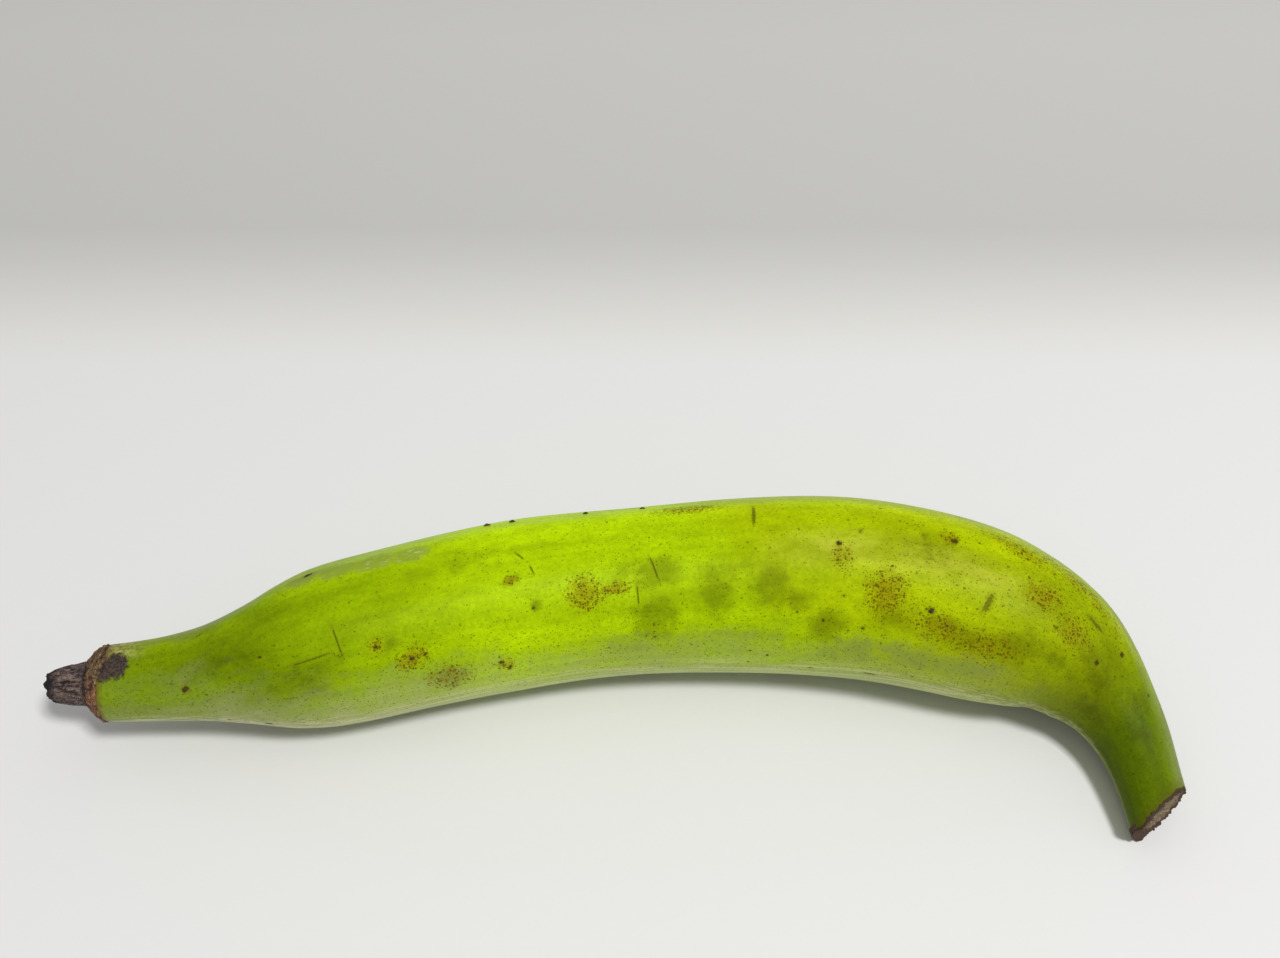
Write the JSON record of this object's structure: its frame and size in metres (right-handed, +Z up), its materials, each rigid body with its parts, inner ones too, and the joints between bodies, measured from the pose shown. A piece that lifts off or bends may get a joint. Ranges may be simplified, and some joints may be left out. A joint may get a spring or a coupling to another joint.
{
  "type": "plantain",
  "caption": "Unripe green plantain, one long curved fruit with soft ridges, a bent neck, a cut stalk and a dried flower tip, lying on its side.",
  "frame": {"origin": "on the surface that the fruit lies on, under the middle of its bounding box", "axes": "+X along the fruit from the dried flower tip to the stalk, +Y away from the hollow side, +Z up"},
  "size_m": [0.2857, 0.0892, 0.0486],
  "materials": {
    "peel": "waxy green peel with small brown specks and bruises",
    "dried_tip": "dry, dark brown and furrowed",
    "cut_stalk": "dry brown fibres"
  },
  "bodies": {
    "root": {"plantain": "peel"}
  },
  "joints": []
}
